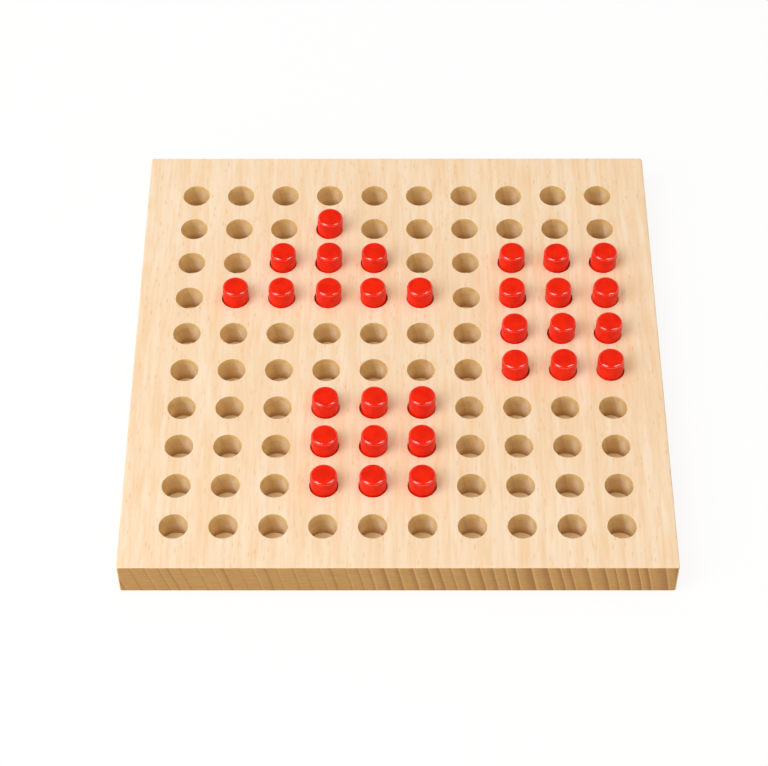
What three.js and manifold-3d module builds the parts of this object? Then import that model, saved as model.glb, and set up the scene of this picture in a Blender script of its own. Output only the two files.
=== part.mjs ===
// Math peg board: a square beech plank with a grid of blind, flat-floored sockets drilled into its
// top, and short round pegs that stand loose in some of them and lift straight out.
// Millimetres, +Z up. The origin is on the underside, below the middle of the plank.
// Row 1 is the back row and column 1 is the left one, seen from the front (from -Y).

import * as THREE from 'three';
import { mergeVertices } from 'three/addons/utils/BufferGeometryUtils.js';
import Module from 'manifold-3d';

// Grid of sockets
const SOCKETS_PER_SIDE = 10;
const PITCH = 18;
const EDGE_MARGIN = 19.5;     // from the plank's edge to the first socket's centre, with the grid centred
const GRID_FORWARD = 1.5;     // the drilled grid sits this much nearer to the front edge

// Plank
const FLOOR_THICKNESS = 3.2;  // wood left under each socket
const SOCKET_DEPTH = 11.8;
const CORNER_RADIUS = 1.0;    // upright corners
const EDGE_EASE = 0.6;        // sanded rounding along the top and bottom edges

// Pegs
const PEG_DIAMETER = 10;
const PEG_LENGTH = 19.3;
const PEG_END_RADIUS = 1.2;   // both ends are rounded over alike, so either end goes in
const PEG_PLAY = 0.6;         // a peg drops in and lifts out by hand: socket minus peg diameter

// Facets
const ROUND_SIDES = 16;       // around a peg or a socket
const END_STEPS = 3;          // along the rounding of a peg's end
const CORNER_STEPS = 3;
const EASE_STEPS = 2;

// Sizes that follow
const GRID_SPAN = (SOCKETS_PER_SIDE - 1) * PITCH;
const PLANK_SIDE = GRID_SPAN + 2 * EDGE_MARGIN;
const PLANK_THICKNESS = FLOOR_THICKNESS + SOCKET_DEPTH;
const SOCKET_DIAMETER = PEG_DIAMETER + PEG_PLAY;
const DRILL_OVERRUN = SOCKET_DEPTH / 4;   // the drill's body above the top face

// Where the pegs stand, back row first: a triangle, an upright oblong and a square
const PEG = 'o';
const LAYOUT = [
  '..........',
  '...o......',
  '..ooo..ooo',
  '.ooooo.ooo',
  '.......ooo',
  '.......ooo',
  '...ooo....',
  '...ooo....',
  '...ooo....',
  '..........',
];

const wasm = await Module();
wasm.setup();

// Solids for cutting, and back again

function solidOf(geometry) {
  const bare = geometry.clone();
  bare.deleteAttribute('normal');
  bare.deleteAttribute('uv');
  const merged = mergeVertices(bare);
  return new wasm.Manifold(new wasm.Mesh({
    numProp: 3,
    vertProperties: new Float32Array(merged.attributes.position.array),
    triVerts: new Uint32Array(merged.index.array),
  }));
}

function geometryOf(solid) {
  const { vertProperties, triVerts } = solid.getMesh();
  const geometry = new THREE.BufferGeometry();
  geometry.setAttribute('position', new THREE.BufferAttribute(vertProperties, 3));
  geometry.setIndex(new THREE.BufferAttribute(triVerts, 1));
  geometry.computeVertexNormals();
  return geometry;
}

// Materials

function beech() {
  return new THREE.MeshStandardMaterial({ color: 0xf4d2ab, roughness: 0.6, metalness: 0 });
}

function redLacquer() {
  return new THREE.MeshStandardMaterial({ color: 0xe31a0c, roughness: 0.2, metalness: 0 });
}

// Centre of a socket in plan
function socketCentre(row, column) {
  const x = (column - 1) * PITCH - GRID_SPAN / 2;
  const y = GRID_SPAN / 2 - (row - 1) * PITCH - GRID_FORWARD;
  return new THREE.Vector2(x, y);
}

// All the places in the grid, as [row, column]
function gridPlaces() {
  const numbers = Array.from({ length: SOCKETS_PER_SIDE }, (_, index) => index + 1);
  return numbers.flatMap((row) => numbers.map((column) => [row, column]));
}

// The sawn and sanded plank before drilling: a square with small round corners and eased edges
function plankGeometry() {
  const half = PLANK_SIDE / 2;
  const arcCentre = half - CORNER_RADIUS;
  const quarter = Math.PI / 2;
  const outline = new THREE.Shape();
  outline.absarc(arcCentre, arcCentre, CORNER_RADIUS, 0, quarter);
  outline.absarc(-arcCentre, arcCentre, CORNER_RADIUS, quarter, 2 * quarter);
  outline.absarc(-arcCentre, -arcCentre, CORNER_RADIUS, 2 * quarter, 3 * quarter);
  outline.absarc(arcCentre, -arcCentre, CORNER_RADIUS, 3 * quarter, 4 * quarter);
  const geometry = new THREE.ExtrudeGeometry(outline, {
    depth: PLANK_THICKNESS - 2 * EDGE_EASE,
    curveSegments: CORNER_STEPS,
    bevelThickness: EDGE_EASE,
    bevelSize: EDGE_EASE,
    bevelOffset: -EDGE_EASE,
    bevelSegments: EASE_STEPS,
  });
  return geometry.translate(0, 0, EDGE_EASE);
}

// What the flat-ended drill takes out for one socket
function drillGeometry(row, column) {
  const radius = SOCKET_DIAMETER / 2;
  const length = SOCKET_DEPTH + DRILL_OVERRUN;
  const centre = socketCentre(row, column);
  const drill = new THREE.CylinderGeometry(radius, radius, length, ROUND_SIDES);
  drill.rotateX(Math.PI / 2);
  return drill.translate(centre.x, centre.y, FLOOR_THICKNESS + length / 2);
}

function boardMesh() {
  let solid = solidOf(plankGeometry());
  for (const [row, column] of gridPlaces()) {
    solid = solid.subtract(solidOf(drillGeometry(row, column)));
  }
  const mesh = new THREE.Mesh(geometryOf(solid), beech());
  mesh.name = 'board';
  return mesh;
}

// A peg standing on its foot, turned from a profile with a quarter-round at each end
function pegGeometry() {
  const straight = PEG_DIAMETER / 2 - PEG_END_RADIUS;
  const profile = [new THREE.Vector2(0, 0)];
  for (const [end, from] of [[PEG_END_RADIUS, -Math.PI / 2], [PEG_LENGTH - PEG_END_RADIUS, 0]]) {
    for (let step = 0; step <= END_STEPS; step += 1) {
      const angle = from + (step / END_STEPS) * (Math.PI / 2);
      const radius = straight + PEG_END_RADIUS * Math.cos(angle);
      profile.push(new THREE.Vector2(radius, end + PEG_END_RADIUS * Math.sin(angle)));
    }
  }
  profile.push(new THREE.Vector2(0, PEG_LENGTH));
  return new THREE.LatheGeometry(profile, ROUND_SIDES).rotateX(Math.PI / 2);
}

function pegMesh(row, column) {
  const centre = socketCentre(row, column);
  const mesh = new THREE.Mesh(pegGeometry(), redLacquer());
  mesh.name = `peg_r${row}_c${column}`;
  mesh.position.set(centre.x, centre.y, FLOOR_THICKNESS);
  return mesh;
}

const pegBoard = new THREE.Group();
pegBoard.add(boardMesh());
for (const [row, column] of gridPlaces()) {
  if (LAYOUT[row - 1]?.[column - 1] === PEG) {
    pegBoard.add(pegMesh(row, column));
  }
}

export default pegBoard;
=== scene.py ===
# Math peg board: a drilled beech board with red lacquered pegs standing loose in some of its sockets.
# Metres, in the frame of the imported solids: +Z up, the origin under the middle of the board,
# row 1 at the back and column 1 on the left, seen from the front (from -Y).
import math

import bmesh
import bpy
from mathutils import Matrix, Vector

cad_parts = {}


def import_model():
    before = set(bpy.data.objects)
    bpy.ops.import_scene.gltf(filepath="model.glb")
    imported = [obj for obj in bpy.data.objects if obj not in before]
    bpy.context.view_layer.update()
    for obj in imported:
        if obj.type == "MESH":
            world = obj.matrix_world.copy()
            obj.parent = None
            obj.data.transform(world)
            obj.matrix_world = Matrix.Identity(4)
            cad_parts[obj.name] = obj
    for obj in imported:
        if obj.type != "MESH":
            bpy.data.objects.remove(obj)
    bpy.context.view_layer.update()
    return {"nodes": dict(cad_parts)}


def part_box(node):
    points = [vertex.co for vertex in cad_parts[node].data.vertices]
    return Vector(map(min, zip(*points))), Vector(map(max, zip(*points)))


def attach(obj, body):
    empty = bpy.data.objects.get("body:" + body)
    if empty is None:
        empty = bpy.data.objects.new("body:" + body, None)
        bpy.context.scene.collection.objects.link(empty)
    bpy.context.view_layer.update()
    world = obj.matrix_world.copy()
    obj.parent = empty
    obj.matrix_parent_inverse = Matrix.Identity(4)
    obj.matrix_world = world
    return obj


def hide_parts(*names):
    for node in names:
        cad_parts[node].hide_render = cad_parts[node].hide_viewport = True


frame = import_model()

MM = 0.001

# Board
SOCKETS_PER_SIDE = 10
PEG_PLAY = 0.6 * MM            # socket minus peg diameter
CORNER_RADIUS = 1.0 * MM       # upright corners
EDGE_EASE = 0.6 * MM           # sanded rounding along the top and bottom edges
RIM_EASE = 0.12 * MM           # the drilled rims are sanded with the top face
SUPPORT = 0.04 * MM            # a close extra loop that keeps flat faces flat beside a rounding

# Fibres torn out of some rims by the drill: (row, column) and directions in degrees from the right
TEAR_REACH = 0.16 * MM
TEAR_GUARD = 3 * TEAR_REACH    # from the rim to the ring where tears end
TEAR_DEPTH = 0.8 * MM
TEAR_BELOW_RIM = 0.8           # share of a tear that is left just below the rim
TEAR_WIDTH = 9.0               # degrees from the middle of a tear to its end
TEARS = {
    (2, 9): (-104, -70),
    (4, 8): (-97,),
    (4, 9): (205,),
    (5, 3): (-60,),
    (7, 6): (-88,),
    (8, 9): (198,),
    (10, 8): (150,),
    (10, 9): (178, 200, 236),
    (10, 10): (172, 190, 215),
}

# Pegs
LEFT_PEG = "peg_r4_c2"         # two pegs of one row, which give the pitch of the sockets
RIGHT_PEG = "peg_r4_c10"
PEG_END_RADIUS = 1.2 * MM
PEG_CROWN = 0.12 * MM          # the dipped lacquer stands a little higher in the middle of an end
PEG_LIFT = 0.02 * MM           # between a peg's foot and the socket's floor

# How each peg stands, back row first: the way it leans, then its length
LEAN_RIGHT_BACK = {            # degrees to the right and to the back
    "o": (0.2, 0.4),
    "r": (1.2, 0.9),
    "R": (2.4, 0.2),
    "l": (-1.1, 0.9),
    "L": (-2.2, 0.5),
    "b": (0.2, 2.1),
    "B": (1.6, 2.2),
}
SHORTER = {"+": 0.0 * MM, "=": 0.3 * MM, "-": 0.6 * MM}   # how much shorter than the longest peg
STANCES = [
    ".. .. .. .. .. .. .. .. .. ..",
    ".. .. .. R+ .. .. .. .. .. ..",
    ".. .. r= R+ o= .. .. r= L- R+",
    ".. r= o= R= L= l= .. L= L= o=",
    ".. .. .. .. .. .. .. o- R+ r+",
    ".. .. .. .. .. .. .. L= o+ l+",
    ".. .. .. o= R+ B+ .. .. .. ..",
    ".. .. .. b- R+ b= .. .. .. ..",
    ".. .. .. b- b- b- .. .. .. ..",
    ".. .. .. .. .. .. .. .. .. ..",
]

# Small dents in the lacquer of some tops: direction in degrees from the right, and distance from the middle
DENT_DEPTH = 0.05 * MM
DENT_WIDTH = 1.1 * MM
DENTS = {
    "peg_r5_c8": (100, 1.6 * MM),
    "peg_r5_c10": (40, 1.2 * MM),
    "peg_r7_c5": (60, 2.2 * MM),
    "peg_r8_c6": (125, 2.0 * MM),
    "peg_r9_c5": (-20, 1.8 * MM),
    "peg_r4_c9": (75, 1.9 * MM),
    "peg_r3_c3": (20, 1.5 * MM),
}

# Facets
RIM_SIDE = 16                  # points along each side of a socket's square of board
HALF_SIDE = RIM_SIDE // 2
RIM_POINTS = 4 * RIM_SIDE      # points round a socket
PEG_POINTS = 64
EASE_STEPS = 5
RIM_STEPS = 3
CORNER_STEPS = 6
PEG_END_STEPS = 8
PEG_SIDE_RINGS = 6
PEG_TOP_RINGS = 9
BOARD_SMOOTH = 35              # degrees, up to which an edge between facets is smooth
PEG_SMOOTH = 60

# Patterns of the wood and the lacquer, in grains per metre across, along and up
SWAY_GRAIN = (13, 3, 13)
FIBRE_GRAIN = (750, 70, 750)
STREAK_GRAIN = (210, 20, 210)
FLECK_GRAIN = (850, 210, 850)
RAY_GRAIN = (160, 160, 1900)
SCORE_GRAIN = (90, 90, 1300)   # left by the drill
POOL_GRAIN = (240, 240, 240)
PEEL_GRAIN = (1100, 1100, 700)
NOISE_MIDDLE = (0.5, 0.5, 0.5)  # what its values vary about

# Where a pattern starts and ends to show, on the scale of its values
MOST_OF_NOISE = (0.3, 0.7)
UPPER_NOISE = (0.35, 0.7)
FIBRES_SHOW = (0.40, 0.72)
SCORES_SHOW = (0.45, 0.7)
FLECK_SIZE = (0.1, 0.4)        # from the middle of a cell of the pattern
FLECKED_CELLS = (0.5, 0.95)    # some of the cells have no fleck

# How squarely a face has to look along an axis: where it starts and ends to be of that kind
END_FACING = (0.72, 0.95)      # along Y: cut across the grain
FLAT_FACING = (0.6, 0.9)       # along Z: level
UPRIGHT_FACING = (0.1, 0.5)    # along Z: no longer upright

# Growth rings
PITH = (-0.345, 0.0, -0.063)   # the middle of the tree, far to the left and below the board
RING_WIDTH = 4.7 * MM
RING_WANDER = 1.3              # years by which a ring can be off its even place
RING_WANDER_SCALE = 62.0       # per metre of radius
SWAY = 5.0 * MM                # of the grain, from one side to the other
VIGOUR = 0.55                  # how much broader the dark wood of some years is than of others
RIGHT_BREADTH = 0.45           # how much broader it is towards the right of the board,
RIGHT_REACH = (-0.03, 0.05)    # between these places along X
LATE_STRENGTH = (0.5, 1.0)     # of the dark wood where it is narrow, and where it is broad

# Shares of a year's growth
LATE_START = (0.84, 0.25)      # where the dark wood starts if it is narrow, and if it is broad
LATE_FULL = 0.97
LATE_END = (0.975, 1.0)
EARLY_END = (0.02, 0.24)       # of the pale wood

# Colours of the wood: the two of its base, then layers as (pattern, the most that it covers, colour)
ALONG_GRAIN = {
    "base": [(0.915, 0.727, 0.53), (0.88, 0.645, 0.415)],
    "layers": [
        ("fibres", 0.6, (0.86, 0.56, 0.31)),
        ("late", 0.12, (0.74, 0.45, 0.22)),
        ("flecks", 0.5, (0.78, 0.44, 0.19)),
    ],
}
SOCKET_WOOD = {
    "base": [(0.98, 0.745, 0.345), (0.96, 0.675, 0.275)],
    "layers": [
        ("scores", 0.4, (0.87, 0.545, 0.19)),
        ("late", 0.32, (0.70, 0.39, 0.14)),
        ("early", 0.32, (0.97, 0.79, 0.50)),
        # painted shade: darker towards the foot of each socket's wall, where the corner lies in shade
        ("painted_foot_shade", 0.85, (0.45, 0.23, 0.07)),
        ("floor", 1.0, (0.97, 0.77, 0.47)),
    ],
}
END_GRAIN = {
    "base": [(0.535, 0.295, 0.093), (0.475, 0.248, 0.073)],
    "layers": [
        ("late", 0.75, (0.305, 0.137, 0.032)),
        ("early", 0.8, (0.635, 0.39, 0.152)),
    ],
}
TORN_FIBRE_AND_HIGHLIGHT = (0.97, 0.91, 0.81)    # pale fresh wood with no finish on it, made whiter by a painted highlight where the fibres catch the light

# Sockets in the wood
SOCKETS_END = (0.091, 0.097)   # from the middle of the board, between the outermost sockets and its sides
SOCKET_END_GRAIN = 0.12        # share of the end grain's colour that shows in a socket
PAINTED_SHADE_REACH = 0.45            # share of a socket's depth, from its floor up, darkened by painted shade at the foot of the walls
POLISH_START = 1.2 * MM        # below the top face, where the sockets' walls start to shine
POLISH_FULL = 3.5 * MM         # below the top face and above the floor, where they shine most
POLISH_AT_FOOT = 0.3           # share of the polish that is left at the foot of the wall
POLISH_STREAK = 0.95           # how far the drill's scores draw the sheen out, up and down

# Finish of the wood and the lacquer
BUMP_DISTANCE = 0.1 * MM
WOOD_BUMP = 0.2
FLECK_BUMP = 0.6               # depth of the flecks for each unit of the fibres' height
WOOD_ROUGHNESS = (0.5, 0.66)
WOOD_IOR = 1.8
WOOD_GLOSS = (0.12, 1.0)       # matt, and polished by the drill
LACQUER_REDS = [(0.94, 0.020, 0.001), (0.83, 0.013, 0.001)]
LACQUER_BUMP = 0.05
POOL_HEIGHT = 3.0
PEEL_HEIGHT = 0.3
LACQUER_ROUGHNESS = (0.32, 0.4)
LACQUER_GLOSS = 0.05           # under the coat
COAT_WEIGHT = (0.12, 1.0)      # down the sides, and on the ends
COAT_IOR = 1.82
COAT_ROUGHNESS = 0.05

# Camera
CAMERA_PLACE = (-2.25 * MM, -550.85 * MM, 695.04 * MM)
CAMERA_TURN = (38.144, 0.160, 0.097)   # degrees
LENS = 107.08
SENSOR = 36.0

# Lamps: directions in degrees, sizes in metres, and the level of light on the top face
KEY = {"azimuth": 61, "elevation": 49, "distance": 1.5, "width": 0.86, "height": 1.30,
       "level": 0.46, "tint": (0.98, 1.0, 1.10)}
FILL = {"azimuth": -78, "elevation": 57, "distance": 1.5, "width": 0.56, "height": 0.84, "level": 0.06}

# Lamps that show in mirror images only, nearer than the others so that these don't hide them
KEY_SHEEN = {"azimuth": 61, "elevation": 50, "distance": 1.3, "width": 0.16, "height": 0.32,
             "level": 0.04}
FILL_SHEEN = {"azimuth": -78, "elevation": 57, "distance": 1.3, "width": 0.49, "height": 0.73,
              "level": 0.205}

# Room: each pair is where a light starts and ends to change, as the sine of its height above the horizon
CANOPY_LEVEL = 1.10                    # white cloth overhead
CANOPY_HEIGHTS = (0.50, 0.97)
HORIZON_LEVEL = 0.98                   # white walls round the table
HORIZON_HEIGHTS = (0.20, 0.55)
MIRRORED_HEIGHTS = (0.12, 0.50)        # mirror images show white walls
MIRRORED_CEILING = 0.03                # and a dark ceiling
ROOM_TINT = (1.02, 1.0, 0.91)          # a little warm, as the key is a little cool: white together
WHITE = (1.0, 1.0, 1.0)

# Floor
FLOOR_REACH = 4.0
FLOOR_DROP = 0.05 * MM                 # keeps the floor and the board's underside apart
FLOOR_GREY = (0.92, 0.92, 0.92, 1.0)
FLOOR_WHITENESS = 0.86                 # share of plain white in what is seen of the floor


# Places and sizes from the frame

def peg_nodes():
    return sorted(name for name in frame["nodes"] if name.startswith("peg_"))


def row_and_column(node):
    _, row, column = node.split("_")
    return int(row[1:]), int(column[1:])


def peg_axis(node):
    low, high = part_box(node)
    return (low + high) / 2


def socket_pitch():
    columns = row_and_column(RIGHT_PEG)[1] - row_and_column(LEFT_PEG)[1]
    return (peg_axis(RIGHT_PEG).x - peg_axis(LEFT_PEG).x) / columns


def first_socket():
    """The middle of the socket at the back left."""
    row, column = row_and_column(LEFT_PEG)
    return peg_axis(LEFT_PEG) + Vector((-PITCH * (column - 1), PITCH * (row - 1), 0))


BOARD_LOW, BOARD_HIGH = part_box("board")
PEG_LOW, PEG_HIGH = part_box(LEFT_PEG)
TOP = BOARD_HIGH.z
SOCKET_FLOOR = PEG_LOW.z
PEG_RADIUS = (PEG_HIGH.x - PEG_LOW.x) / 2
PEG_LENGTH = PEG_HIGH.z - PEG_LOW.z
SOCKET_RADIUS = PEG_RADIUS + PEG_PLAY / 2
PITCH = socket_pitch()
FIRST_SOCKET = first_socket()
LATTICE_STEP = PITCH / RIM_SIDE


def socket_centre(row, column):
    return FIRST_SOCKET.x + (column - 1) * PITCH, FIRST_SOCKET.y - (row - 1) * PITCH


def sockets():
    numbers = range(1, SOCKETS_PER_SIDE + 1)
    return [(row, column) for row in numbers for column in numbers]


# Nodes of a material

def feed(tree, node, inputs):
    """Links a node's inputs to sockets, or sets them to plain values."""
    for key, value in inputs.items():
        socket = node.inputs[key]
        if isinstance(value, bpy.types.NodeSocket):
            tree.links.new(value, socket)
        else:
            socket.default_value = value


def add(tree, kind, inputs=None, **settings):
    """A node of that kind with those settings and inputs."""
    node = tree.nodes.new(kind)
    for name, value in settings.items():
        setattr(node, name, value)
    feed(tree, node, inputs or {})
    return node


def maths(tree, operation, first, second=0.0):
    return add(tree, "ShaderNodeMath", {0: first, 1: second}, operation=operation).outputs[0]


def vectors(tree, operation, first, second):
    return add(tree, "ShaderNodeVectorMath", {0: first, 1: second}, operation=operation).outputs[0]


def spans(tree, vector):
    """How far a vector goes along each axis, whichever way."""
    size = add(tree, "ShaderNodeVectorMath", {0: vector}, operation="ABSOLUTE").outputs[0]
    return add(tree, "ShaderNodeSeparateXYZ", {0: size}).outputs


def noise(tree, place, grain, detail=2.0, roughness=0.5):
    """Noise with that many grains per metre each way."""
    spread = vectors(tree, "MULTIPLY", place, grain)
    inputs = {"Vector": spread, "Scale": 1.0, "Detail": detail, "Roughness": roughness}
    return add(tree, "ShaderNodeTexNoise", inputs).outputs


def fade(tree, value, start, end, low=0.0, high=1.0):
    """low before start, high after end, and a smooth step between them."""
    inputs = {"Value": value, "From Min": start, "From Max": end, "To Min": low, "To Max": high}
    return add(tree, "ShaderNodeMapRange", inputs, interpolation_type="SMOOTHSTEP").outputs[0]


def mix(tree, share, first, second):
    """A colour between two others, by the node's inputs 0, 6 and 7 and output 2, which are for colours."""
    inputs = {0: share}
    for key, colour in ((6, first), (7, second)):
        inputs[key] = colour if isinstance(colour, bpy.types.NodeSocket) else (*colour, 1.0)
    return add(tree, "ShaderNodeMix", inputs, data_type="RGBA").outputs[2]


def bump(tree, height, strength):
    """The normal of a surface with small ups and downs."""
    inputs = {"Height": height, "Strength": strength, "Distance": BUMP_DISTANCE}
    return add(tree, "ShaderNodeBump", inputs).outputs["Normal"]


def object_place(tree):
    return add(tree, "ShaderNodeTexCoord").outputs["Object"]


def face_normal(tree):
    return add(tree, "ShaderNodeNewGeometry").outputs["Normal"]


def new_material(name):
    material = bpy.data.materials.new(name)
    material.use_nodes = True
    tree = material.node_tree
    return material, tree, tree.nodes["Principled BSDF"]


# Beech: growth rings round the pith, long fibres, short dark flecks and a darker end grain

def swaying(tree, place):
    """Places moved a little sideways, so that the grain isn't straight."""
    sway = vectors(tree, "SUBTRACT", noise(tree, place, SWAY_GRAIN)["Color"], NOISE_MIDDLE)
    return vectors(tree, "ADD", place, vectors(tree, "MULTIPLY", sway, (SWAY, 0.0, SWAY)))


def growth_rings(tree, swayed):
    """How much of the dark late wood and of the pale early wood of a year's growth is at each place."""
    outward = vectors(tree, "MULTIPLY", vectors(tree, "SUBTRACT", swayed, PITH), (1, 0, 1))
    radius = add(tree, "ShaderNodeVectorMath", {0: outward}, operation="LENGTH").outputs["Value"]
    wander_inputs = {"W": radius, "Scale": RING_WANDER_SCALE, "Detail": 1.0}
    wander = add(tree, "ShaderNodeTexNoise", wander_inputs, noise_dimensions="1D").outputs[0]
    years = maths(tree, "ADD", maths(tree, "DIVIDE", radius, RING_WIDTH),
                  maths(tree, "MULTIPLY", wander, RING_WANDER))
    season = maths(tree, "FRACT", years)

    # The dark wood is broader in some years, and towards the right
    year = maths(tree, "FLOOR", years)
    vigour = add(tree, "ShaderNodeTexWhiteNoise", {"W": year}, noise_dimensions="1D").outputs["Value"]
    across = add(tree, "ShaderNodeSeparateXYZ", {0: swayed}).outputs["X"]
    breadth = maths(tree, "ADD", maths(tree, "MULTIPLY", vigour, VIGOUR),
                    fade(tree, across, *RIGHT_REACH, 0.0, RIGHT_BREADTH))
    start = fade(tree, breadth, 0.0, 1.0, *LATE_START)
    late = maths(tree, "MULTIPLY", fade(tree, season, start, LATE_FULL),
                 fade(tree, season, *LATE_END, 1.0, 0.0))
    late = maths(tree, "MULTIPLY", late, fade(tree, breadth, 0.0, 1.0, *LATE_STRENGTH))
    early = maths(tree, "MULTIPLY", fade(tree, season, *EARLY_END, 1.0, 0.0), breadth)
    return late, early


def wood_flecks(tree, swayed):
    """Short dark flecks along the grain."""
    spread = vectors(tree, "MULTIPLY", swayed, FLECK_GRAIN)
    cells = add(tree, "ShaderNodeTexVoronoi", {"Vector": spread, "Scale": 1.0, "Randomness": 1.0}).outputs
    chosen = add(tree, "ShaderNodeSeparateColor", {0: cells["Color"]}).outputs[0]
    return maths(tree, "MULTIPLY", fade(tree, cells["Distance"], *FLECK_SIZE, 1.0, 0.0),
                 fade(tree, chosen, *FLECKED_CELLS))


def in_socket(tree, reach):
    """1 on the walls and floors of the sockets, 0 on the board's other faces."""
    farthest = maths(tree, "MAXIMUM", reach["X"], reach["Y"])
    inside = fade(tree, farthest, *SOCKETS_END, 1.0, 0.0)
    below = fade(tree, reach["Z"], TOP - 2 * RIM_EASE, TOP - RIM_EASE / 2, 1.0, 0.0)
    above = fade(tree, reach["Z"], SOCKET_FLOOR / 4, SOCKET_FLOOR / 2)
    return maths(tree, "MULTIPLY", inside, maths(tree, "MULTIPLY", below, above))


def wood_colour(tree, variation, patterns, base, layers):
    """A base that varies between two colours, and layers over it where their patterns are."""
    colour = mix(tree, variation, *base)
    for pattern, most, over in layers:
        colour = mix(tree, maths(tree, "MULTIPLY", patterns[pattern], most), colour, over)
    return colour


def drill_polish(tree, shader, sunk, reach, facing):
    """The drill polishes the sockets' walls below the rim, and its scores draw the sheen out."""
    upright = fade(tree, facing["Z"], *UPRIGHT_FACING, 1.0, 0.0)
    deep = fade(tree, reach["Z"], TOP - POLISH_FULL, TOP - POLISH_START, 1.0, 0.0)
    clean = fade(tree, reach["Z"], SOCKET_FLOOR, SOCKET_FLOOR + POLISH_FULL, POLISH_AT_FOOT, 1.0)
    polished = maths(tree, "MULTIPLY", maths(tree, "MULTIPLY", sunk, upright),
                     maths(tree, "MULTIPLY", deep, clean))
    feed(tree, shader, {
        "IOR": WOOD_IOR,
        "Specular IOR Level": fade(tree, polished, 0.0, 1.0, *WOOD_GLOSS),
        "Anisotropic": maths(tree, "MULTIPLY", polished, POLISH_STREAK),
        "Tangent": add(tree, "ShaderNodeCombineXYZ", {"Z": 1.0}).outputs[0],
    })


def beech():
    material, tree, shader = new_material("beech")
    place = object_place(tree)
    swayed = swaying(tree, place)
    reach = spans(tree, place)
    facing = spans(tree, face_normal(tree))
    sunk = in_socket(tree, reach)

    # Patterns: painted shade darkens the foot of a socket's wall, and the floor keeps its own colour
    late, early = growth_rings(tree, swayed)
    flecks = wood_flecks(tree, swayed)
    fibres = noise(tree, place, FIBRE_GRAIN, detail=3.0, roughness=0.6)[0]
    streaks = noise(tree, place, STREAK_GRAIN)[0]
    rays = noise(tree, place, RAY_GRAIN)[0]
    scores = noise(tree, place, SCORE_GRAIN, detail=1.0)[0]
    painted_shade_end = SOCKET_FLOOR + PAINTED_SHADE_REACH * (TOP - SOCKET_FLOOR)
    patterns = {
        "late": late,
        "early": early,
        "flecks": flecks,
        "fibres": fade(tree, fibres, *FIBRES_SHOW),
        "scores": fade(tree, scores, *SCORES_SHOW),
        "painted_foot_shade": fade(tree, reach["Z"], SOCKET_FLOOR, painted_shade_end, 1.0, 0.0),
        "floor": fade(tree, facing["Z"], *FLAT_FACING),
    }

    # The end grain shows on the front and back faces, and hardly in the sockets
    side = wood_colour(tree, fade(tree, streaks, *MOST_OF_NOISE), patterns, **ALONG_GRAIN)
    bore = wood_colour(tree, fade(tree, fibres, *UPPER_NOISE), patterns, **SOCKET_WOOD)
    end = wood_colour(tree, fade(tree, rays, *UPPER_NOISE), patterns, **END_GRAIN)
    endness = maths(tree, "MULTIPLY", fade(tree, facing["Y"], *END_FACING),
                    fade(tree, sunk, 0.0, 1.0, 1.0, SOCKET_END_GRAIN))
    wood = mix(tree, endness, mix(tree, sunk, side, bore), end)
    # Torn rims: pale fresh wood, plus a painted highlight where the torn fibres catch the light
    torn = add(tree, "ShaderNodeAttribute", attribute_name="torn").outputs["Fac"]

    # Sanded, with a clear matt finish: the fibres stand a hair higher and the flecks lower
    grain = maths(tree, "SUBTRACT", fibres, maths(tree, "MULTIPLY", flecks, FLECK_BUMP))
    feed(tree, shader, {
        "Base Color": mix(tree, torn, wood, TORN_FIBRE_AND_HIGHLIGHT),
        "Normal": bump(tree, grain, WOOD_BUMP),
        "Roughness": fade(tree, fibres, *MOST_OF_NOISE, *WOOD_ROUGHNESS),
    })
    drill_polish(tree, shader, sunk, reach, facing)
    return material


# Red lacquer: thick gloss with slow waves on the ends, rubbed duller down the sides

def red_lacquer():
    material, tree, shader = new_material("red_lacquer")
    place = object_place(tree)
    facing = spans(tree, face_normal(tree))
    pools = noise(tree, place, POOL_GRAIN)[0]
    peel = noise(tree, place, PEEL_GRAIN)[0]
    surface = maths(tree, "ADD", maths(tree, "MULTIPLY", pools, POOL_HEIGHT),
                    maths(tree, "MULTIPLY", peel, PEEL_HEIGHT))
    feed(tree, shader, {
        "Base Color": mix(tree, fade(tree, pools, *UPPER_NOISE), *LACQUER_REDS),
        "Normal": bump(tree, surface, LACQUER_BUMP),
        "Roughness": fade(tree, peel, *MOST_OF_NOISE, *LACQUER_ROUGHNESS),
        "Specular IOR Level": LACQUER_GLOSS,
        "Coat Weight": fade(tree, facing["Z"], *UPRIGHT_FACING, *COAT_WEIGHT),
        "Coat IOR": COAT_IOR,
        "Coat Roughness": COAT_ROUGHNESS,
    })
    return material


# Meshes from loops of points

def new_object(name, data):
    thing = bpy.data.objects.new(name, data)
    bpy.context.scene.collection.objects.link(thing)
    return thing


class Loops:
    """Points and faces of a mesh that is built loop by loop."""

    def __init__(self):
        self.points = []
        self.faces = []

    def point(self, place):
        self.points.append(place)
        return len(self.points) - 1

    def loop(self, places):
        return [self.point(place) for place in places]

    def bridge(self, first, second):
        """Faces between two closed loops of as many points."""
        for index in range(len(first)):
            after = (index + 1) % len(first)
            self.faces.append((first[index], second[index], second[after], first[after]))

    def skin(self, loops):
        for first, second in zip(loops, loops[1:]):
            self.bridge(first, second)

    def fan(self, loop, middle):
        for index, start in enumerate(loop):
            self.faces.append((start, loop[(index + 1) % len(loop)], middle))

    def piece(self, name, material, smooth_angle):
        mesh = bpy.data.meshes.new(name)
        mesh.from_pydata(self.points, [], self.faces)
        work = bmesh.new()
        work.from_mesh(mesh)
        bmesh.ops.recalc_face_normals(work, faces=work.faces)
        work.to_mesh(mesh)
        work.free()
        mesh.shade_smooth()
        mesh.set_sharp_from_angle(angle=math.radians(smooth_angle))
        mesh.materials.append(material)
        return new_object(name, mesh)


def quarter_round(steps):
    """(cosine, sine) along a quarter of a circle."""
    angles = [step / steps * math.pi / 2 for step in range(steps + 1)]
    return [(math.cos(angle), math.sin(angle)) for angle in angles]


# Board

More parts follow.
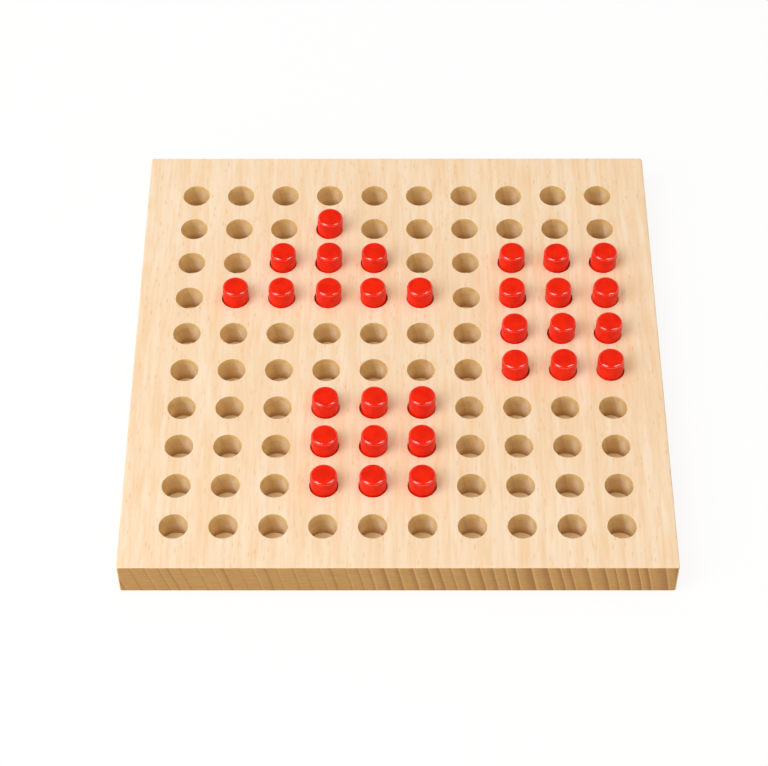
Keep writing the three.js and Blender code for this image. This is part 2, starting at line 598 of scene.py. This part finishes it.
def square_steps():
    """Steps round a socket's square of board, as steps of the lattice from its centre, right side first."""
    right_up = [(HALF_SIDE, step) for step in range(HALF_SIDE)]
    top = [(HALF_SIDE - step, HALF_SIDE) for step in range(RIM_SIDE)]
    left = [(-HALF_SIDE, HALF_SIDE - step) for step in range(RIM_SIDE)]
    bottom = [(step - HALF_SIDE, -HALF_SIDE) for step in range(RIM_SIDE)]
    right_down = [(HALF_SIDE, step - HALF_SIDE) for step in range(HALF_SIDE)]
    return right_up + top + left + bottom + right_down


def socket_profile():
    """(radius, height, share of a tear that is left) from the top face over the rim to the floor."""
    guard = (SOCKET_RADIUS + RIM_EASE + TEAR_GUARD, TOP, 0.0)
    before = (SOCKET_RADIUS + RIM_EASE + SUPPORT, TOP, 1.0)
    rim = [(SOCKET_RADIUS + RIM_EASE * (1 - sine), TOP - RIM_EASE * (1 - cosine), 1.0)
           for cosine, sine in quarter_round(RIM_STEPS)]
    below_rim = (SOCKET_RADIUS, TOP - RIM_EASE - SUPPORT, TEAR_BELOW_RIM)
    below_tears = (SOCKET_RADIUS, TOP - TEAR_DEPTH, 0.0)
    foot = (SOCKET_RADIUS, SOCKET_FLOOR, 0.0)
    floor_edge = (SOCKET_RADIUS - SUPPORT, SOCKET_FLOOR, 0.0)
    return [guard, before, *rim, below_rim, below_tears, foot, floor_edge]


def tear(row, column, turn):
    """How far fibres are torn back at that place on a socket's rim, as a share of the deepest tear."""
    share = 0.0
    for direction in TEARS.get((row, column), ()):
        away = (math.degrees(turn) - direction + 180) % 360 - 180
        share = max(share, 1 - abs(away) / TEAR_WIDTH)
    return share


def socket_ring(row, column, radius, height, left):
    """Points round a socket, with how torn each is, where that share of a tear is left."""
    x, y = socket_centre(row, column)
    ring = []
    for index in range(RIM_POINTS):
        turn = index / RIM_POINTS * math.tau
        torn = left * tear(row, column, turn)
        reach = radius + TEAR_REACH * torn
        ring.append(((x + reach * math.cos(turn), y + reach * math.sin(turn), height), torn))
    return ring


def edge_profile():
    """(inset, height) from the top face over the eased edge, down the side and under the bottom edge."""
    eased = [(EDGE_EASE * (1 - sine), TOP - EDGE_EASE * (1 - cosine))
             for cosine, sine in quarter_round(EASE_STEPS)]
    upper = [(EDGE_EASE + SUPPORT, TOP), *eased, (0.0, TOP - EDGE_EASE - SUPPORT)]
    lower = [(inset, BOARD_LOW.z + TOP - height) for inset, height in reversed(upper)]
    return upper + lower


def board_outline(lattice):
    """Points round the board as (place, outward direction, lattice point beside it)."""
    last = RIM_SIDE * (SOCKETS_PER_SIDE - 1) + HALF_SIDE
    middle = Vector(((BOARD_LOW.x + BOARD_HIGH.x) / 2, (BOARD_LOW.y + BOARD_HIGH.y) / 2))
    reach = Vector(((BOARD_HIGH.x - BOARD_LOW.x) / 2, (BOARD_HIGH.y - BOARD_LOW.y) / 2))
    sides = [
        ((1, 0), [(last, index) for index in range(-last, HALF_SIDE + 1)]),
        ((0, 1), [(index, HALF_SIDE) for index in range(last, -HALF_SIDE - 1, -1)]),
        ((-1, 0), [(-HALF_SIDE, index) for index in range(HALF_SIDE, -last - 1, -1)]),
        ((0, -1), [(index, -last) for index in range(-HALF_SIDE, last + 1)]),
    ]
    outline = []
    for out, keys in sides:
        out = Vector(out)
        for key in keys:
            place = Vector((FIRST_SOCKET.x + key[0] * LATTICE_STEP, FIRST_SOCKET.y + key[1] * LATTICE_STEP))
            if out.x:
                place.x = middle.x + out.x * reach.x
            else:
                place.y = middle.y + out.y * reach.y
            outline.append((place, out, lattice[key]))
        turned = Vector((-out.y, out.x))
        corner = out + turned
        to_arc = Vector((corner.x * (reach.x - CORNER_RADIUS), corner.y * (reach.y - CORNER_RADIUS)))
        for cosine, sine in quarter_round(CORNER_STEPS):
            direction = out * cosine + turned * sine
            outline.append((middle + to_arc + direction * CORNER_RADIUS, direction, lattice[keys[-1]]))
    return outline


def drilled_top(loops):
    """The sockets and the board between them. Returns its lattice of points, and how torn each point is."""
    lattice = {}
    torn = {}
    for row, column in sockets():
        x, y = socket_centre(row, column)
        square = []
        for across, along in square_steps():
            key = (across + RIM_SIDE * (column - 1), along - RIM_SIDE * (row - 1))
            if key not in lattice:
                lattice[key] = loops.point((x + across * LATTICE_STEP, y + along * LATTICE_STEP, TOP))
            square.append(lattice[key])
        rings = []
        for radius, height, left in socket_profile():
            ring = socket_ring(row, column, radius, height, left)
            rings.append(loops.loop(place for place, _ in ring))
            torn.update((point, share) for point, (_, share) in zip(rings[-1], ring))
        loops.skin([square, *rings])
        loops.fan(rings[-1], loops.point((x, y, SOCKET_FLOOR)))
    return lattice, torn


def margin_and_sides(loops, lattice):
    """The margin of the top face, the sides and the underside."""
    outline = board_outline(lattice)
    edges = [
        loops.loop((*(place - out * inset), height) for place, out, _ in outline)
        for inset, height in edge_profile()
    ]
    for index, (_, _, beside) in enumerate(outline):
        after = (index + 1) % len(outline)
        next_beside = outline[after][2]
        face = [beside, edges[0][index], edges[0][after]]
        loops.faces.append(tuple(face if next_beside == beside else [*face, next_beside]))
    loops.skin(edges)
    loops.faces.append(tuple(edges[-1]))


def board_piece(material):
    loops = Loops()
    lattice, torn = drilled_top(loops)
    margin_and_sides(loops, lattice)
    piece = loops.piece("beech_board", material, BOARD_SMOOTH)
    shares = piece.data.attributes.new("torn", "FLOAT", "POINT")
    for point, share in torn.items():
        shares.data[point].value = share
    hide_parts("board")
    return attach(piece, "board")


# Pegs

def stance(node):
    """The turn by which a peg leans, and how much shorter it is than the longest."""
    row, column = row_and_column(node)
    lean, size = STANCES[row - 1].split()[column - 1]
    right, back = (math.radians(angle) for angle in LEAN_RIGHT_BACK[lean])
    return Matrix.Rotation(right, 4, "Y") @ Matrix.Rotation(-back, 4, "X"), SHORTER[size]


def leaning_length(height, turn):
    """How long a peg is that reaches that height when it leans."""
    upright = turn.to_3x3() @ Vector((0, 0, 1))
    tilt = upright.angle((0, 0, 1))
    rounding = 2 * PEG_END_RADIUS
    flat = 2 * (PEG_RADIUS - PEG_END_RADIUS)
    return (height - rounding - flat * math.sin(tilt)) / math.cos(tilt) + rounding


def peg_profile(length):
    """(radius, height) of an upright peg from the rim of its foot to the last ring of its crown."""
    straight = PEG_RADIUS - PEG_END_RADIUS
    foot = [(straight + PEG_END_RADIUS * sine, PEG_END_RADIUS * (1 - cosine))
            for cosine, sine in quarter_round(PEG_END_STEPS)]
    shoulder = length - PEG_CROWN
    head = [(radius, shoulder - height) for radius, height in reversed(foot)]
    span = head[0][1] - foot[-1][1]
    side = [(PEG_RADIUS, foot[-1][1] + span * ring / PEG_SIDE_RINGS) for ring in range(1, PEG_SIDE_RINGS)]
    crown = []
    for ring in range(1, PEG_TOP_RINGS):
        radius = straight * (1 - ring / PEG_TOP_RINGS)
        crown.append((radius, shoulder + PEG_CROWN * (1 - (radius / straight) ** 2)))
    return foot + side + head + crown


def peg_ring(radius, height):
    turns = [index / PEG_POINTS * math.tau for index in range(PEG_POINTS)]
    return [(radius * math.cos(turn), radius * math.sin(turn), height) for turn in turns]


def dented(point, length, direction, distance):
    """A point of an upright peg, pressed in where its top has a dent."""
    x, y, z = point
    if z < length - PEG_END_RADIUS:
        return point
    turn = math.radians(direction)
    away = math.hypot(x - distance * math.cos(turn), y - distance * math.sin(turn))
    return x, y, z - DENT_DEPTH * math.exp(-(away / DENT_WIDTH) ** 2)


def peg_piece(node, material):
    turn, shorter = stance(node)
    length = leaning_length(PEG_LENGTH - PEG_LIFT - shorter, turn)
    loops = Loops()
    rings = [loops.loop(peg_ring(radius, height)) for radius, height in peg_profile(length)]
    loops.skin(rings)
    loops.fan(rings[0], loops.point((0, 0, 0)))
    loops.fan(rings[-1], loops.point((0, 0, length)))
    if node in DENTS:
        loops.points = [dented(point, length, *DENTS[node]) for point in loops.points]

    # It leans about the middle of its socket's depth and stands on the floor
    axis = peg_axis(node)
    pivot = Vector((0, 0, (TOP - SOCKET_FLOOR) / 2))
    leaned = [pivot + turn @ (Vector(point) - pivot) for point in loops.points]
    lowest = min(point.z for point in leaned)
    stand = Vector((axis.x, axis.y, SOCKET_FLOOR + PEG_LIFT - lowest))
    loops.points = [point + stand for point in leaned]
    piece = loops.piece(node.replace("peg_", "lacquered_peg_"), material, PEG_SMOOTH)
    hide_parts(node)
    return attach(piece, node)


# Floor, light and camera

def seen_directly(tree):
    """1 for rays from the camera or a mirror image, 0 for light on its way round the scene."""
    path = add(tree, "ShaderNodeLightPath").outputs
    either = maths(tree, "MAXIMUM", path["Is Camera Ray"], path["Is Glossy Ray"])
    return maths(tree, "MAXIMUM", either, path["Is Transmission Ray"])


def pale_floor():
    material, tree, _ = new_material("pale_floor")
    tree.nodes.clear()
    matt = add(tree, "ShaderNodeBsdfDiffuse", {"Color": FLOOR_GREY}).outputs[0]
    white = add(tree, "ShaderNodeEmission", {"Color": (*WHITE, 1.0), "Strength": 1.0}).outputs[0]
    share = maths(tree, "MULTIPLY", seen_directly(tree), FLOOR_WHITENESS)
    both = add(tree, "ShaderNodeMixShader", {0: share, 1: matt, 2: white}).outputs[0]
    add(tree, "ShaderNodeOutputMaterial", {"Surface": both})
    return material


def floor():
    height = BOARD_LOW.z - FLOOR_DROP
    signs = ((-1, -1), (1, -1), (1, 1), (-1, 1))
    mesh = bpy.data.meshes.new("floor")
    mesh.from_pydata([(x * FLOOR_REACH, y * FLOOR_REACH, height) for x, y in signs], [], [(0, 1, 2, 3)])
    mesh.materials.append(pale_floor())
    new_object("floor", mesh)


def world():
    surroundings = bpy.data.worlds.new("studio")
    bpy.context.scene.world = surroundings
    surroundings.use_nodes = True
    tree = surroundings.node_tree
    tree.nodes.clear()
    direction = add(tree, "ShaderNodeTexCoord").outputs["Generated"]
    height = add(tree, "ShaderNodeSeparateXYZ", {0: direction}).outputs["Z"]
    mirrored = fade(tree, height, *MIRRORED_HEIGHTS, 1.0, MIRRORED_CEILING)
    canopy = fade(tree, height, *CANOPY_HEIGHTS, 0.0, CANOPY_LEVEL)
    horizon = fade(tree, height, *HORIZON_HEIGHTS, HORIZON_LEVEL, 0.0)
    soft = maths(tree, "ADD", canopy, horizon)
    seen = seen_directly(tree)

    # Inputs 0, 2 and 3 and output 0 of this node are for plain values
    strength = add(tree, "ShaderNodeMix", {0: seen, 2: soft, 3: mirrored}).outputs[0]
    colour = mix(tree, seen, ROOM_TINT, WHITE)
    light = add(tree, "ShaderNodeBackground", {"Color": colour, "Strength": strength})
    add(tree, "ShaderNodeOutputWorld", {"Surface": light.outputs[0]})


def softbox(name, azimuth, elevation, distance, width, height, level, tint=WHITE):
    """A lamp that gives the top face that level of light. Azimuth is from the front towards the left."""
    around = math.radians(azimuth)
    up = math.radians(elevation)
    out = Vector((-math.sin(around) * math.cos(up), -math.cos(around) * math.cos(up), math.sin(up)))
    lamp = bpy.data.lights.new(name, "AREA")
    lamp.shape = "RECTANGLE"
    lamp.size = width
    lamp.size_y = height
    lamp.color = tint

    # A white top face gives back out.z / (pi * distance) ** 2 of a lamp's watts
    lamp.energy = level * math.pi ** 2 * distance ** 2 / out.z
    holder = new_object(name, lamp)
    holder.location = Vector((0, 0, TOP)) + out * distance
    holder.rotation_euler = out.to_track_quat("Z", "Y").to_euler()
    return holder


def sheen(name, lamp):
    """A lamp that shows in mirror images only."""
    holder = softbox(name, **lamp)
    holder.visible_diffuse = False
    return holder


def camera():
    data = bpy.data.cameras.new("camera")
    data.lens = LENS
    data.sensor_width = SENSOR
    holder = new_object("camera", data)
    holder.location = CAMERA_PLACE
    holder.rotation_euler = [math.radians(angle) for angle in CAMERA_TURN]
    bpy.context.scene.camera = holder


bpy.context.scene.view_settings.view_transform = "Standard"
camera()
floor()
world()
softbox("key", **KEY)
softbox("fill", **FILL)
sheen("key_sheen", KEY_SHEEN)
board_piece(beech())
lacquer = red_lacquer()
lacquered = bpy.data.collections.new("lacquered")
for peg_node in peg_nodes():
    lacquered.objects.link(peg_piece(peg_node, lacquer))

# The sheen of the fill reaches only the pegs, not the polish in the sockets
sheen("fill_sheen", FILL_SHEEN).light_linking.receiver_collection = lacquered
